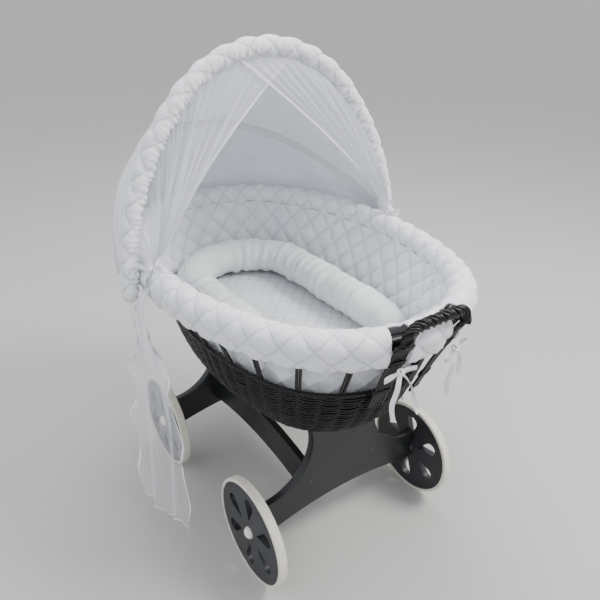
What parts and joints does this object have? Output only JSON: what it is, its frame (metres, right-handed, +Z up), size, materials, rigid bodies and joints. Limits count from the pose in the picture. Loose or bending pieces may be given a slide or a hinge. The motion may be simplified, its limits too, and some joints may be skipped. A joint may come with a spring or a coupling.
{
  "type": "bassinet on stand",
  "caption": "Oval wicker bassinet with a quilted cover, padded nest and tilting hood with sheer curtains, resting on an arched wooden stand with large wheels.",
  "frame": {"origin": "on the floor, under the middle of the whole object", "axes": "+Z up, +Y towards the hooded head end, X across the bed, so the wheels turn about X"},
  "size_m": [0.8148, 1.0314, 1.1848],
  "materials": {
    "stand_paint": "black satin paint on wood",
    "wheel_paint": "black satin paint on plywood",
    "tyre": "cream rubber, matte",
    "hub_cap": "cream plastic, glossy",
    "hardware": "zinc plated steel",
    "wicker": "black lacquered willow wicker",
    "bare_wood": "bare birch plywood",
    "quilt": "white cotton, diamond quilted",
    "bedding": "white cotton, gathered and filled",
    "canopy_cotton": "white plain cotton",
    "tulle": "sheer white tulle",
    "ribbon": "white satin ribbon"
  },
  "bodies": {
    "stand": {"front_panel": "stand_paint", "rear_panel": "stand_paint", "left_rail": "stand_paint", "right_rail": "stand_paint", "panel_bolts": "hardware", "barrel_nuts": "hardware", "axle_washers": "hardware", "front_left_axle_bolt": "hardware", "front_right_axle_bolt": "hardware", "rear_left_axle_bolt": "hardware", "rear_right_axle_bolt": "hardware"},
    "front_left_wheel": {"front_left_wheel_disc": "wheel_paint", "front_left_tyre": "tyre", "front_left_hub_cap": "hub_cap"},
    "front_right_wheel": {"front_right_wheel_disc": "wheel_paint", "front_right_tyre": "tyre", "front_right_hub_cap": "hub_cap"},
    "rear_left_wheel": {"rear_left_wheel_disc": "wheel_paint", "rear_left_tyre": "tyre", "rear_left_hub_cap": "hub_cap"},
    "rear_right_wheel": {"rear_right_wheel_disc": "wheel_paint", "rear_right_tyre": "tyre", "rear_right_hub_cap": "hub_cap"},
    "basket": {"basket_weave": "wicker", "basket_floor": "bare_wood", "basket_stakes": "wicker", "floor_battens": "bare_wood", "rim_border": "wicker", "rim_cover": "quilt", "liner": "quilt", "mattress": "bedding", "nest_pad": "quilt", "nest_bolster": "bedding", "left_handle_post": "wicker", "right_handle_post": "wicker", "foot_handle": "wicker", "left_pivot_bolt": "hardware", "right_pivot_bolt": "hardware", "pivot_spacers": "hardware", "wing_nuts": "hardware", "left_veil_tail": "tulle", "right_veil_tail": "tulle", "left_veil_bow": "ribbon", "right_veil_bow": "ribbon", "left_foot_bow": "ribbon", "right_foot_bow": "ribbon"},
    "hood": {"hood_front_hoop": "bare_wood", "hood_rear_hoop": "bare_wood", "hood_roll": "quilt", "hood_canopy": "canopy_cotton", "hood_skirt": "canopy_cotton", "left_curtain": "tulle", "right_curtain": "tulle", "left_hood_tie": "ribbon", "right_hood_tie": "ribbon"}
  },
  "joints": [
    {"name": "basket_lift", "type": "slide", "parent": "stand", "child": "basket", "axis": [0, 0, 1], "range_m": [0, 0.06]},
    {"name": "hood_tilt", "type": "hinge", "parent": "basket", "child": "hood", "pos_m": [0, 0.04573, 0.705], "axis": [-1, 0, 0], "range_deg": [0, 45]},
    {"name": "front_left_wheel_spin", "type": "hinge", "parent": "stand", "child": "front_left_wheel", "pos_m": [0, -0.25927, 0.135], "axis": [1, 0, 0], "continuous": true},
    {"name": "front_right_wheel_spin", "type": "hinge", "parent": "stand", "child": "front_right_wheel", "pos_m": [0, -0.25927, 0.135], "axis": [1, 0, 0], "continuous": true},
    {"name": "rear_left_wheel_spin", "type": "hinge", "parent": "stand", "child": "rear_left_wheel", "pos_m": [0, 0.23073, 0.135], "axis": [1, 0, 0], "continuous": true},
    {"name": "rear_right_wheel_spin", "type": "hinge", "parent": "stand", "child": "rear_right_wheel", "pos_m": [0, 0.23073, 0.135], "axis": [1, 0, 0], "continuous": true}
  ]
}
